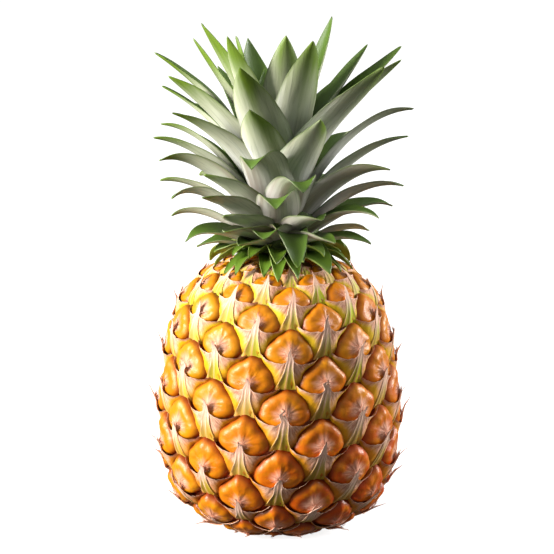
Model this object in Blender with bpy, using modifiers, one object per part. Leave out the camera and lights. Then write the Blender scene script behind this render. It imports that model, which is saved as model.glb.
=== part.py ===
"""A fresh pineapple that stands on its cut base: the fruit with its eyes and bracts, the leafy crown on top, and
the stub of the stalk it was cut from. The origin is the middle of the base, +Z is up and -Y is the front."""

import math

import bmesh
import bpy
import numpy as np

MM = 0.001
SEED = 7

# The groove line of the rind from the base up: distance from the axis and height, in millimetres.
RIND_OUTLINE = [
    (12.0, 1.2), (24.0, 2.2), (35.0, 5.0), (45.0, 12.5), (51.6, 22.5), (55.4, 35.0), (57.0, 50.0),
    (56.7, 66.0), (54.6, 84.0), (51.6, 102.5), (45.5, 117.0), (36.0, 127.0), (25.0, 132.5), (12.0, 134.5),
]
GIRTH = 57.0  # radius at which the eye and bract sizes below are true; they shrink with the radius
OUTLINE_STEPS = 24

# The eyes follow one spiral. Every 10th and every 9th eye touch, which gives the two sets of slanting rows.
EYE_TURN = 37.7515  # degrees from one eye to the next
EYE_DROP = 0.0282  # fall from one eye to the next, as a share of the radius there
FIRST_TURN = -15.04  # angle of eye 0 from the front
FIRST_LEVEL = 2.96  # level of eye 0 above the foot of the outline, in radii, before the dip
FRONT_DIP = 0.09  # how much lower the rows run at the front, and higher at the back, in radii
STEEP_ROW = 10
FLAT_ROW = 9
TOP_EYE = -41
BOTTOM_EYE = 92

EYE_BULGE = 4.3
EYE_CUTS = [-0.5, -0.29, 0.29]  # where one cell of the net is cut, along each of its two rows

# One bract as seen from outside: sideways, up and out from the groove, at the full girth.
BRACT_RIM = [
    (0.0, -18.5, 1.2), (12.6, -6.0, 2.4), (5.6, -8.6, 5.8),
    (0.4, 1.8, 8.0), (-5.6, -8.6, 5.8), (-12.6, -6.0, 2.4),
]
BRACT_KEEL = (0.0, -8.5, 7.0)
BRACT_ROOT = (0.0, -9.0, -4.0)
FIRST_BRACT = -38
LAST_BRACT = 72

STALK_RADIUS = 12.0
STALK_HEIGHT = 4.0
STALK_SIDES = 24
GAP = 0.3

# The crown's own stem, which the leaves grow from: distance from the axis and height.
STEM_OUTLINE = [
    (0.0, 200.0), (5.0, 196.0), (10.5, 184.0), (16.0, 168.0),
    (19.5, 152.0), (20.0, 142.0), (17.0, 135.2), (0.0, 135.2),
]
STEM_SIDES = 14
LOWEST_ROOT = 136.6
HIGHEST_ROOT = 170.0
LOWEST_TIP = 138.0
HIGHEST_TIP = 256.0
ROOT_SHARE = 0.45  # how far out from the axis a leaf starts inside the stem

LEAF_EDGE = 0.7
LEAF_MIDRIB = 1.7
LEAF_CHANNEL = 0.2  # depth of a leaf's gutter, as a share of its width
ROOT_WIDTH = 0.25  # width of a leaf where it leaves the stem, as a share of its full width
ROOT_FLARE = 2.2  # how fast it widens from there along its middle line
LEAF_TAPER = 3.2  # how long it keeps its width before it narrows to the tip
LAUNCH_HOLD = 0.42  # share of its span for which it keeps the slope it leaves the stem at
ARRIVAL_HOLD = 0.3  # and the slope that its tip points at

# Leaves of the front half, from the heart outwards: turn from the front, reach from the axis and height of the
# tip, width, and the slopes in degrees at which the leaf leaves the stem and at which its tip points.
FRONT_LEAVES = [
    (10, 18, 249, 24, 86, 80), (35, 28, 247, 27, 84, 78), (120, 30, 255, 20, 86, 80), (-80, 39, 254, 21, 86, 62),
    (-100, 43, 245, 12, 84, 60), (-50, 33, 249, 18, 84, 72), (-110, 23, 245, 11, 86, 76), (-160, 47, 241, 22, 80, 66),
    (-22, 50, 237, 26, 79, 64), (120, 51, 240, 20, 80, 56), (88, 60, 241, 17, 76, 42), (-95, 62, 238, 18, 74, 34),
    (110, 64, 232, 16, 74, 44), (55, 58, 231, 26, 74, 54), (-75, 56, 229, 22, 76, 40), (-112, 64, 219, 11, 70, 24),
    (-20, 42, 216, 25, 80, 62), (24, 48, 212, 26, 76, 62), (-60, 60, 213, 20, 70, 20), (95, 67, 210, 15, 64, 2),
    (-98, 60, 202, 13, 62, 4), (-80, 63, 198, 17, 58, 8), (85, 64, 198, 17, 54, 10), (-16, 49, 188, 25, 74, -60),
    (-72, 62, 188, 18, 52, -14), (62, 61, 185, 22, 52, -4), (-50, 48, 183, 22, 58, 26), (13, 50, 177, 24, 66, -60),
    (-45, 53, 173, 19, 48, 16), (85, 62, 173, 16, 44, -14), (-95, 60, 174, 14, 44, -8), (-2, 49, 169, 22, 60, -60),
    (-75, 55, 168, 14, 48, -44), (-40, 42, 161, 22, 48, 14), (55, 59, 162, 18, 40, -28), (95, 57, 161, 14, 36, -26),
    (30, 42, 162, 20, 48, 4), (-90, 54, 157, 13, 36, -28), (-35, 45, 155, 18, 38, -6), (-65, 51, 148, 18, 34, -50),
    (100, 46, 148, 13, 30, -24), (75, 47, 143, 15, 28, -40), (12, 40, 141, 18, 50, -66), (-78, 42, 140, 15, 28, -34),
]
# Leaves of the back half, by whorls: count, reach, tip height, width and the two slopes.
BACK_WHORLS = [
    (3, 40, 238, 21, 84, 66), (4, 56, 226, 20, 76, 44), (4, 62, 208, 19, 66, 16),
    (4, 62, 189, 18, 54, 2), (4, 57, 169, 17, 44, -14), (3, 47, 150, 15, 32, -34),
]
BACK_FROM = 130
BACK_TO = 238
# Leaves of the heart and of the collar, by the golden turn and by an even ring.
HEART_LEAVES = 7
HEART_TURN = 137.5
COLLAR_LEAVES = 14
COLLAR = (35, 134.6, 19, 34, -68)


def clear_scene():
    for obj in list(bpy.data.objects):
        bpy.data.objects.remove(obj, do_unlink=True)


def new_collection(name):
    collection = bpy.data.collections.new(name)
    bpy.context.scene.collection.children.link(collection)
    return collection


def new_material(name, colour, roughness):
    material = bpy.data.materials.new(name)
    material.use_nodes = True
    shader = material.node_tree.nodes["Principled BSDF"]
    shader.inputs["Base Color"].default_value = (*colour, 1.0)
    shader.inputs["Roughness"].default_value = roughness
    shader.inputs["Metallic"].default_value = 0.0
    return material


def new_object(name, collection, points_mm, faces, material=None):
    mesh = bpy.data.meshes.new(name)
    mesh.from_pydata((np.asarray(points_mm, float) * MM).tolist(), [], [tuple(map(int, f)) for f in faces])
    mesh.update()
    obj = bpy.data.objects.new(name, mesh)
    collection.objects.link(obj)
    if material:
        mesh.materials.append(material)
    return obj


def face_outwards(obj):
    mesh = bmesh.new()
    mesh.from_mesh(obj.data)
    bmesh.ops.recalc_face_normals(mesh, faces=mesh.faces[:])
    mesh.to_mesh(obj.data)
    mesh.free()
    return obj


def smooth_through(points, steps):
    """A Catmull-Rom curve through the points, cut into equal steps of its parameter."""
    ends = np.array(points, float)
    line = np.vstack([2 * ends[0] - ends[1], ends, 2 * ends[-1] - ends[-2]])
    t = np.linspace(0, 1, steps, endpoint=False)[:, None]
    runs = []
    for a, b, c, d in zip(line[:-3], line[1:-2], line[2:-1], line[3:]):
        bend = (2 * a - 5 * b + 4 * c - d) * t**2 + (3 * b - a - 3 * c + d) * t**3
        runs.append(0.5 * (2 * b + (c - a) * t + bend))
    return np.vstack(runs + [ends[-1:]])


class Rind:
    """The turned surface under the eyes. A place on it is a turn about the axis, in radians from the front, and
    a level: the way up the outline, each short step of it divided by the radius there."""

    def __init__(self):
        self.line = smooth_through(RIND_OUTLINE, OUTLINE_STEPS)
        step = np.diff(self.line, axis=0)
        radius = (self.line[1:, 0] + self.line[:-1, 0]) / 2
        self.level = np.concatenate([[0.0], np.cumsum(np.hypot(step[:, 0], step[:, 1]) / radius)])
        along = np.gradient(self.line, axis=0)
        along /= np.hypot(along[:, 0], along[:, 1])[:, None]
        self.out = np.column_stack([along[:, 1], -along[:, 0]])

    def place(self, turn, level, lift):
        """Points in millimetres, lifted off the outline by an amount that shrinks with the radius. None is lower
        than the surface that the fruit stands on."""
        level = np.clip(level - FRONT_DIP * np.cos(turn), self.level[0], self.level[-1])
        radius, height, out_r, out_z = (
            np.interp(level, self.level, row) for row in (*self.line.T, *self.out.T)
        )
        lift = lift * radius / GIRTH
        radius = radius + out_r * lift
        height = np.maximum(height + out_z * lift, 0.0)
        return np.stack([radius * np.sin(turn), -radius * np.cos(turn), height], axis=-1)


RIND = Rind()


def cell_lift(steep, flat):
    """Height of the rind inside an eye's cell, from 0 in the grooves to the eye's rounded top."""
    in_groove = max(abs(steep), abs(flat)) == 0.5
    return 0.0 if in_groove else EYE_BULGE


def net_of_eyes(collection, material):
    """The rind as a net of slanting cells, one for each eye. Cells lie along the two sets of rows, so the net
    closes on itself after 9 cells of the steep rows and 10 of the flat ones."""
    cuts = len(EYE_CUTS)
    points, index = [], {}

    def corner(i, j):
        turns = math.floor(i / (FLAT_ROW * cuts))
        key = (i - turns * FLAT_ROW * cuts, j + turns * STEEP_ROW * cuts)
        if key not in index:
            i, j = key
            steep, flat = EYE_CUTS[i % cuts], EYE_CUTS[j % cuts]
            along_steep, along_flat = i // cuts + steep, j // cuts + flat
            turn = (math.radians(STEEP_ROW * EYE_TURN - 360) * along_steep
                    + math.radians(FLAT_ROW * EYE_TURN - 360) * along_flat)
            level = FIRST_LEVEL - EYE_DROP * (STEEP_ROW * along_steep + FLAT_ROW * along_flat)
            index[key] = len(points)
            points.append(RIND.place(math.radians(FIRST_TURN) + turn, level, cell_lift(steep, flat)))
        return index[key]

    faces = []
    for i in range(FLAT_ROW * cuts):
        top, base = ((end * cuts - STEEP_ROW * (i + 0.5)) / FLAT_ROW for end in (TOP_EYE, BOTTOM_EYE))
        for j in range(math.ceil(top), math.ceil(base)):
            faces.append((corner(i, j), corner(i, j + 1), corner(i + 1, j + 1), corner(i + 1, j)))
    rind = new_object("fruit", collection, points, faces, material)
    mesh = bmesh.new()
    mesh.from_mesh(rind.data)
    for loop in open_loops(mesh):
        level = sum(edge.verts[0].co.z for edge in loop) / len(loop)
        rim = bmesh.ops.extrude_edge_only(mesh, edges=loop)["geom"]
        corners = [part for part in rim if isinstance(part, bmesh.types.BMVert)]
        bmesh.ops.pointmerge(mesh, verts=corners, merge_co=(0.0, 0.0, level))
    bmesh.ops.triangulate(mesh, faces=mesh.faces[:])
    bmesh.ops.recalc_face_normals(mesh, faces=mesh.faces[:])
    mesh.to_mesh(rind.data)
    mesh.free()
    return rind


def open_loops(mesh):
    """The net's open edges, as one list for the top and one for the base."""
    edges = [edge for edge in mesh.edges if edge.is_boundary]
    middle = GIRTH * MM
    return [
        [edge for edge in edges if edge.verts[0].co.z > middle],
        [edge for edge in edges if edge.verts[0].co.z <= middle],
    ]


def bract(number, collection):
    """A pointed bract below its eye: a rim with two wings and a spine, sunk into the rind at its root."""
    turn, level = math.radians(FIRST_TURN + number * EYE_TURN), FIRST_LEVEL - number * EYE_DROP
    rim = np.array(BRACT_RIM)
    shape = np.vstack([rim, [BRACT_KEEL], [BRACT_ROOT]])
    points = RIND.place(turn + shape[:, 0] / GIRTH, level + shape[:, 1] / GIRTH, shape[:, 2])
    count = len(rim)
    faces = [(count, k, (k + 1) % count) for k in range(count)]
    faces += [(count + 1, (k + 1) % count, k) for k in range(count)]
    return face_outwards(new_object(f"bract_{number}", collection, points, faces))


def join_all(target, repeats, solver):
    """One union of a collection's closed shapes with the target, after which the shapes are removed."""
    union = target.modifiers.new("union", "BOOLEAN")
    union.operation = "UNION"
    union.operand_type = "COLLECTION"
    union.collection = repeats
    union.solver = solver
    apply_modifier(target, union)
    for obj in list(repeats.objects):
        bpy.data.objects.remove(obj, do_unlink=True)
    bpy.data.collections.remove(repeats)
    keep_outer_skin(target)


def keep_outer_skin(obj):
    """Fills the small hollows that the union seals, by keeping only the largest connected skin."""
    mesh = bmesh.new()
    mesh.from_mesh(obj.data)
    left, skins = set(mesh.verts), []
    while left:
        reached, front = set(), {left.pop()}
        while front:
            reached |= front
            front = {edge.other_vert(vert) for vert in front for edge in vert.link_edges} - reached
        left -= reached
        skins.append(reached)
    largest = max(skins, key=len)
    loose = [vert for vert in mesh.verts if vert not in largest]
    bmesh.ops.delete(mesh, geom=loose, context="VERTS")
    mesh.to_mesh(obj.data)
    mesh.free()


def stem(collection, material):
    """The crown's stem, turned from its outline."""
    outline = new_object("crown", collection, [(r, 0.0, z) for r, z in STEM_OUTLINE], [], material)
    mesh = bmesh.new()
    mesh.from_mesh(outline.data)
    mesh.verts.ensure_lookup_table()
    for a, b in zip(mesh.verts[:-1], mesh.verts[1:]):
        mesh.edges.new((a, b))
    mesh.to_mesh(outline.data)
    mesh.free()
    screw = outline.modifiers.new("turn", "SCREW")
    screw.steps = STEM_SIDES
    screw.render_steps = STEM_SIDES
    screw.use_merge_vertices = True
    screw.merge_threshold = 0.0001
    apply_modifier(outline, screw)
    return outline


def apply_modifier(obj, modifier):
    bpy.context.view_layer.objects.active = obj
    bpy.ops.object.modifier_apply(modifier=modifier.name)


def leaf(name, collection, turn, reach, tip, width, launch, arrival, sections):
    """A gutter-shaped leaf: its middle line is a cubic curve from inside the stem to the tip, and a section of
    six points, two at each edge and two at the midrib, narrows along it."""
    height_share = min(max((tip - LOWEST_TIP) / (HIGHEST_TIP - LOWEST_TIP), 0.0), 1.0)
    root_height = LOWEST_ROOT + (HIGHEST_ROOT - LOWEST_ROOT) * height_share
    heights = [z for _, z in STEM_OUTLINE[-2:0:-1]]
    radii = [r for r, _ in STEM_OUTLINE[-2:0:-1]]
    start = np.array([ROOT_SHARE * np.interp(root_height, heights, radii), root_height])
    end = np.array([reach, tip])
    launch, arrival = math.radians(launch), math.radians(arrival)
    span = math.dist(start, end)
    after_start = start + LAUNCH_HOLD * span * np.array([math.cos(launch), math.sin(launch)])
    before_end = end - ARRIVAL_HOLD * span * np.array([math.cos(arrival), math.sin(arrival)])

    t = np.linspace(0.0, 1.0, sections + 1)
    t[-2] = 0.5 * (t[-2] + t[-1])
    t = t[:, None]
    line = (1 - t)**3 * start + 3 * (1 - t)**2 * t * after_start + 3 * (1 - t) * t**2 * before_end + t**3 * end
    slope = np.gradient(line, axis=0)
    slope /= np.hypot(slope[:, 0], slope[:, 1])[:, None]
    inward = np.column_stack([-slope[:, 1], slope[:, 0]])

    t = t[:-1]
    half = 0.5 * width * np.minimum(ROOT_WIDTH + ROOT_FLARE * t, 1.0) * (1 - t**LEAF_TAPER)
    gutter = 2 * LEAF_CHANNEL * half
    edge = np.full_like(half, LEAF_EDGE / 2)
    rib = np.full_like(half, LEAF_MIDRIB / 2) * (1 - 0.5 * t)
    zero = np.zeros_like(half)
    section = np.stack([
        np.column_stack([-half, gutter - edge]), np.column_stack([zero, -rib]),
        np.column_stack([half, gutter - edge]), np.column_stack([half, gutter + edge]),
        np.column_stack([zero, rib]), np.column_stack([-half, gutter + edge]),
    ], axis=1)
    out = line[:-1, None, :] + section[:, :, 1:] * inward[:-1, None, :]
    turn = math.radians(turn)
    radial, side = np.array([math.sin(turn), -math.cos(turn)]), np.array([math.cos(turn), math.sin(turn)])
    flat = out[:, :, :1] * radial + section[:, :, :1] * side
    points = np.concatenate([flat, out[:, :, 1:]], axis=2).reshape(-1, 3)
    tip_point = [*(end[0] * radial), end[1]]

    ring = 6
    last = (sections - 1) * ring
    faces = [tuple(range(ring))[::-1]]
    for row in range(0, last, ring):
        for k in range(ring):
            low, next_low = row + k, row + (k + 1) % ring
            faces.append((low, next_low, next_low + ring))
            faces.append((low, next_low + ring, low + ring))
    faces += [(last + k, last + (k + 1) % ring, len(points)) for k in range(ring)]
    return face_outwards(new_object(name, collection, np.vstack([points, [tip_point]]), faces))


def grow_leaves(collection):
    number = 0
    draw = np.random.default_rng(SEED)

    def grow(turn, reach, tip, width, launch, arrival, sections):
        nonlocal number
        leaf(f"leaf_{number}", collection, turn, reach, tip, width, launch, arrival, sections)
        number += 1

    for row in FRONT_LEAVES:
        grow(*row, sections=5 if row[3] > 17 else 4)
    for place, (count, reach, tip, width, launch, arrival) in enumerate(BACK_WHORLS):
        for k in range(count):
            share = (k + 0.5 + 0.25 * (-1)**place) / count
            turn = BACK_FROM + (BACK_TO - BACK_FROM) * share
            reach_here, tip_here = reach + draw.uniform(-3, 3), tip + draw.uniform(-5, 5)
            grow(turn, reach_here, tip_here, width, launch, arrival, sections=4)
    for k in range(HEART_LEAVES):
        grow(HEART_TURN * k, 5 + 2 * k, 230 - 4 * k, 14, 88, 82, sections=3)
    for k in range(COLLAR_LEAVES):
        turn = 360 * (k + draw.uniform(-0.2, 0.2)) / COLLAR_LEAVES
        reach, tip, width, launch, arrival = COLLAR
        grow(turn, reach, tip, width + draw.uniform(-2, 2), launch, arrival, sections=5)


def stalk(collection, material):
    """The stub of the stalk, cut flat, which the fruit stands on."""
    bpy.ops.mesh.primitive_cylinder_add(
        vertices=STALK_SIDES, radius=STALK_RADIUS * MM, depth=STALK_HEIGHT * MM,
        location=(0.0, 0.0, STALK_HEIGHT * MM / 2))
    stub = bpy.context.object
    stub.name = "stalk"
    stub.data.materials.append(material)
    for other in stub.users_collection:
        other.objects.unlink(stub)
    collection.objects.link(stub)
    return stub


def socket_cutter(collection):
    """A round cutter that leaves the stalk's stub its room in the base, with the gap all round."""
    depth = 2 * (STALK_HEIGHT + GAP)
    bpy.ops.mesh.primitive_cylinder_add(
        vertices=STALK_SIDES, radius=(STALK_RADIUS + GAP) * MM, depth=depth * MM, location=(0.0, 0.0, 0.0))
    cutter = bpy.context.object
    cutter.name = "socket_cutter"
    for other in cutter.users_collection:
        other.objects.unlink(cutter)
    collection.objects.link(cutter)
    cutter.hide_render = True
    cutter.display_type = "WIRE"
    return cutter


clear_scene()
pineapple = new_collection("pineapple")
cutters = new_collection("cutters")
rind_material = new_material("rind", (0.82, 0.42, 0.05), 0.5)
leaf_material = new_material("leaf", (0.22, 0.34, 0.12), 0.55)
stalk_material = new_material("cut stalk", (0.62, 0.52, 0.30), 0.8)

fruit = net_of_eyes(pineapple, rind_material)
bracts = new_collection("bracts")
for eye in range(FIRST_BRACT, LAST_BRACT + 1):
    bract(eye, bracts)
join_all(fruit, bracts, "MANIFOLD")  # the Exact solver leaves open edges here
socket = fruit.modifiers.new("socket", "BOOLEAN")
socket.operation = "DIFFERENCE"
socket.object = socket_cutter(cutters)

crown = stem(pineapple, leaf_material)
leaves = new_collection("leaves")
grow_leaves(leaves)
join_all(crown, leaves, "EXACT")

stalk(pineapple, stalk_material)
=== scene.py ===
"""The looks of the pineapple: every eye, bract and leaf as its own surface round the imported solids, with the
waxy rind, dry bract and mealy leaf finishes, the floor, the light and the camera."""
import math

import bpy
import numpy as np
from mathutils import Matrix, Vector


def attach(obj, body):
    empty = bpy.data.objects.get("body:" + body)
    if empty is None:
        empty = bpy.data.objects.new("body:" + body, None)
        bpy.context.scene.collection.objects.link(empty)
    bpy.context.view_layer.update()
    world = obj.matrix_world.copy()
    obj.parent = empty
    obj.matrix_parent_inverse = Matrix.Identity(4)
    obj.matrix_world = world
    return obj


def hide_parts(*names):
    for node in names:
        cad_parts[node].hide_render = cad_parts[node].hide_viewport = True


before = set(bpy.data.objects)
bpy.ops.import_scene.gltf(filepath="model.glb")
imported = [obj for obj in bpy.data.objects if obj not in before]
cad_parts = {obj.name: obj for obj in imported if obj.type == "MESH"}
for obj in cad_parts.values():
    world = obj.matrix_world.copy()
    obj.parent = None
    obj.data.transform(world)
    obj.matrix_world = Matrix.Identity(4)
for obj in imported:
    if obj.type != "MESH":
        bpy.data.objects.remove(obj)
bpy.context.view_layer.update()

MM = 0.001
SEED = 7
draw = np.random.default_rng(SEED)

# The rind's groove line, distance from the axis and height in millimetres, and the spiral that the eyes
# follow, both as the solids have them. Sizes on the rind are true at the full girth and shrink with the
# radius.
RIND_OUTLINE = [
    (12.0, 1.2), (24.0, 2.2), (35.0, 5.0), (45.0, 12.5), (51.6, 22.5), (55.4, 35.0), (57.0, 50.0),
    (56.7, 66.0), (54.6, 84.0), (51.6, 102.5), (45.5, 117.0), (36.0, 127.0), (25.0, 132.5), (12.0, 134.5),
]
GIRTH = 57.0
EYE_TURN = 37.7515
EYE_DROP = 0.0282
FIRST_TURN = -15.04
FIRST_LEVEL = 2.96
FRONT_DIP = 0.09
TOP_EYE = -64
MIDDLE_EYE = 14
BOTTOM_EYE = 92
FIRST_BRACT = -62
LAST_BRACT = 78

# One eye as seen from outside, sideways and up from its middle, from the foot round by the right.
EYE_OUTLINE = [
    (0.0, -11.5), (6.8, -10.8), (11.7, -7.6), (13.2, -3.8), (11.9, 0.3), (8.5, 4.4), (4.8, 7.6), (0.2, 9.2),
    (-4.6, 6.9), (-8.8, 3.4), (-12.1, 0.2), (-13.2, -3.6), (-12.0, -7.2), (-6.8, -10.6),
]
EYE_FOOT = (0.3, -4.2)  # where the bract's spine leaves the eye and its wrinkles meet
EYE_SPOKES = 84
EYE_RINGS = 14
# The top of an eye, in millimetres. A ring is a middle and a width on the way from the foot, which is 0, to
# the edge, which is 1.
EYE_TOP = 4.5
EYE_FALL = 0.11  # what the top loses with each millimetre to the side
EYE_VARIES = 0.35  # how much higher or lower than most an eye can be
EYE_SINK = 0.6  # how far its edge goes down into the groove
EYE_BOTTOM = -1.5  # where its surface closes inside the fruit
EYE_LUMPS = 10
LUMP_WIDTH = 0.04  # as a share of a turn
LUMP_RING = (0.72, 0.2)
LUMP_HEIGHT = 0.8
RING_HEIGHT = 0.2
DIP_RING = (0.34, 0.22)
DIP_DEPTH = 0.3
CREASE_RING = (0.38, 0.2)
CREASE_HEIGHT = 0.1
POCKET_ACROSS = (2.0, 1.3)  # middle and width of the hollow beside the spine, sideways and up
POCKET_UP = (-6.2, 2.2)
POCKET_DEPTH = 0.3
RIDGE_WIDTH = 1.5
RIDGE_HEIGHT = 0.6

# One bract: sideways, up and out from the groove, from the left wing to the right, along its rim and base.
BRACT_RIM = [
    (-15.0, -4.2, 1.6), (-12.6, -6.4, 2.9), (-9.6, -7.8, 3.9), (-6.4, -8.5, 4.5), (-3.6, -8.5, 4.9),
    (-1.9, -7.3, 5.3), (-0.9, -5.0, 5.7), (-0.1, -2.6, 6.2), (0.8, -5.0, 5.7), (1.9, -7.9, 5.2),
    (3.9, -9.1, 4.8), (6.8, -9.5, 4.4), (9.8, -9.2, 3.8), (12.8, -8.3, 2.8), (15.2, -6.8, 1.6),
]
BRACT_BASE = [
    (-15.2, -5.4, 0.2), (-14.0, -9.0, 0.1), (-12.0, -11.8, 0.0), (-10.4, -15.0, 0.0), (-9.8, -19.5, 0.0),
    (-6.4, -22.4, 0.0), (-2.6, -21.6, 0.0), (1.4, -22.6, 0.0), (5.8, -20.0, 0.0), (6.8, -16.0, 0.0),
    (9.2, -12.8, 0.0), (12.4, -10.8, 0.1), (15.4, -8.0, 0.2),
]
BRACT_COLUMNS = 43
BRACT_ROWS = 7

# The keel and spine down the middle of a bract: height on the rind, half its width and how far out it stands.
SPINE = [
    (-22.4, 5.6, 0.3), (-19.0, 4.3, 1.9), (-15.0, 2.9, 3.4), (-11.5, 2.2, 4.5), (-8.5, 2.0, 5.3),
    (-6.4, 1.5, 5.9), (-4.2, 0.95, 6.6), (-2.4, 0.5, 7.4), (-0.6, 0.05, 8.2),
]
STRANDS = 9  # loose fibres on each bract
SPINE_ROWS = 22
KEEL_LEAN = 0.14  # how far the keel leans to the left as it goes down
TIP_REACH = (-1.6, 1.8)  # how much further up than SPINE says a tip can reach
TIP_BEND = 1.2  # how far to a side most tips bend
TIP_STANDS = (-0.4, 3.0)  # how much further out a tip can stand
STRAND_LENGTH = (2.5, 7.0)
STRAND_RADIUS = (0.2, 0.36)
STRAND_RISE = (0.2, 2.2)
SHOULDER_ROW = -16  # from this eye upwards the spines grow longer and broader
SPINE_ACROSS = [-1.0, -0.9, -0.66, -0.42, -0.2, -0.08, 0.2, 0.52, 0.8, 0.92, 1.0]
SPINE_FOLD = [-0.1, 0.5, 0.1, -0.2, 0.0, 0.5, 0.0, -0.2, 0.1, 0.5, -0.1]

# The crown's stem and its leaves, as the solids have them.
STEM_OUTLINE = [(20.0, 142.0), (19.5, 152.0), (16.0, 168.0), (10.5, 184.0), (5.0, 196.0)]
STEM_FOOT = 135.2
STEM_TOP = 200.0
LOWEST_ROOT = 136.6
HIGHEST_ROOT = 170.0
LOWEST_TIP = 138.0
HIGHEST_TIP = 256.0
ROOT_SHARE = 0.45
LEAF_EDGE = 0.35
LEAF_MIDRIB = 1.7
LEAF_ARC = 64  # half the angle that a leaf's section turns through, in degrees
ROOT_WIDTH = 0.25
ROOT_FLARE = 2.2
LEAF_TAPER = 3.9
LAUNCH_HOLD = 0.42
ARRIVAL_HOLD = 0.3
FORWARD_LEAN = 15  # how far the leaves at the sides turn their outer faces to the front, in degrees
LEAF_ROWS = 34
LEAF_ACROSS = 13

# Turn from the front, reach and height of the tip, width, and the slopes at the stem and at the tip. Some
# leaves go on with the hold of the first slope, the taper and the lean to the side.
FRONT_LEAVES = [
    (10, 18, 249, 24, 86, 80), (35, 28, 247, 27, 84, 78), (120, 30, 255, 20, 86, 80),
    (-78, 39, 254, 21, 86, 62, 0.42, 3.9, 8), (-98, 43, 245, 14, 84, 60, 0.42, 3.9, 12),
    (-50, 33, 249, 18, 84, 72), (-110, 23, 246, 12, 86, 76, 0.42, 3.9, 20), (-160, 47, 241, 22, 80, 66),
    (-22, 50, 237, 26, 79, 64), (120, 51, 240, 20, 80, 56), (112, 66, 239, 18, 74, 44, 0.42, 3.9, 18),
    (-95, 62, 238, 18, 74, 34), (84, 60, 236, 17, 75, 44), (55, 61, 236, 26, 74, 54),
    (-75, 56, 229, 22, 76, 40), (-112, 64, 219, 12, 70, 24), (-20, 42, 216, 25, 80, 62),
    (24, 48, 212, 26, 76, 62), (-60, 60, 213, 20, 70, 20), (95, 67, 210, 15, 64, 2),
    (-98, 60, 202, 13, 62, 4), (-80, 63, 198, 17, 58, 8), (85, 64, 198, 17, 54, 10),
    (-16, 49, 188, 25, 74, -60), (-72, 62, 188, 18, 52, -14), (62, 61, 185, 22, 52, -4),
    (-50, 48, 183, 22, 58, 26), (13, 50, 177, 24, 66, -60), (-45, 53, 173, 19, 48, 16),
    (85, 62, 173, 16, 44, -14), (-95, 60, 174, 14, 44, -8), (-2, 49, 169, 22, 60, -60),
    (-75, 55, 168, 14, 48, -44), (-41, 42, 163, 22, 54, 30), (55, 59, 162, 16, 40, -28, 0.42, 2.4, 32),
    (95, 57, 161, 14, 36, -26, 0.42, 3.0, 25), (30, 42, 162, 20, 48, 4), (-90, 54, 157, 13, 36, -28),
    (-38, 44, 156, 21, 46, 24), (-65, 51, 148, 15, 34, -50, 0.42, 2.2, -36), (-12, 37, 152, 22, 40, -44),
    (-30, 40, 149, 19, 42, 6, 0.42, 2.8), (38, 44, 150, 20, 40, -8, 0.42, 2.8),
    (100, 46, 148, 13, 30, -24), (75, 47, 145, 14, 32, -30, 0.42, 2.2, 20),
    (12, 42, 139, 19, 72, -76, 0.85, 2.6), (-78, 42, 143, 14, 32, -28, 0.42, 2.2, -20),
]
# Whorls of the back half: count, reach, tip height, width and the two slopes.
BACK_WHORLS = [
    (3, 36, 226, 21, 84, 66), (4, 56, 226, 20, 76, 44), (4, 62, 208, 19, 66, 16),
    (4, 62, 189, 18, 54, 2), (4, 57, 169, 17, 44, -14), (3, 47, 150, 15, 32, -34),
]
BACK_FROM = 138
BACK_TO = 230
HEART_LEAVES = 7
HEART_TURN = 137.5
# Rings of the collar: count, reach, tip height, width and the two slopes.
COLLAR = [(19, 36, 132.0, 15, 36, -56), (15, 34, 141.0, 15, 46, -50)]

STALK_RADIUS = 12.0
STALK_HEIGHT = 4.0

SHARP_FOLD = 62  # a fold sharper than this stays crisp, in degrees

# How wide each finish's pattern is on the real thing, in millimetres. The last three are coarser than the
# real fibres, which are too fine to show in the render.
WRINKLE = 1.25
WRINKLE_RING = 4.25  # how far from the spine's foot the wrinkles are that wide
BLOTCH = 6.25
PORE = 1.818  # the real ones are finer, and this is as fine as the render shows
MOTTLE = 8.333
GROOVE_GRAIN = 2.0
BRACT_FIBRE = 0.6
FAN_REACH = 7.92  # how far from the spine's foot the fibres of the wings are that wide
DRY_PATCH = 9.091
SPINE_FIBRE = 0.4
VEIN = 0.909
MEAL_BAND = 6.25
STRAND_GRAIN = 1.111
STEM_FIBRE = 3.333
STALK_GRAIN = 1.667


def linear(code):
    """The linear colour of an sRGB hex code."""
    channels = np.array([int(code[k:k + 2], 16) for k in (1, 3, 5)]) / 255
    return (*np.where(channels <= 0.04045, channels / 12.92, ((channels + 0.055) / 1.055)**2.4), 1.0)


def smooth_through(points, steps, closed=False):
    """A Catmull-Rom curve through the points: each run between two of them is the cubic that keeps half the
    distance between its neighbours as its slope, cut into equal steps."""
    ends = np.array(points, float)
    if closed:
        line = np.vstack([ends[-1:], ends, ends[:2]])
    else:
        line = np.vstack([2 * ends[0] - ends[1], ends, 2 * ends[-1] - ends[-2]])
    t = np.linspace(0, 1, steps, endpoint=False)[:, None]
    runs = []
    for a, b, c, d in zip(line[:-3], line[1:-2], line[2:-1], line[3:]):
        bend = (2 * a - 5 * b + 4 * c - d) * t**2 + (3 * b - a - 3 * c + d) * t**3
        runs.append(0.5 * (2 * b + (c - a) * t + bend))
    return np.vstack(runs if closed else runs + [ends[-1:]])


def evenly(curve, count, closed=False):
    """The same curve at count points, evenly spaced along its length."""
    if closed:
        curve = np.vstack([curve, curve[:1]])
    run = np.concatenate([[0.0], np.cumsum(np.linalg.norm(np.diff(curve, axis=0), axis=1))])
    at = np.linspace(0, run[-1], count, endpoint=not closed)
    return np.column_stack([np.interp(at, run, column) for column in curve.T])


def bell(value, middle, width):
    """exp(-((value - middle) / width)^2), which is 1 at the middle and almost nothing two widths away."""
    return np.exp(-((value - middle) / width)**2)


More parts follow.
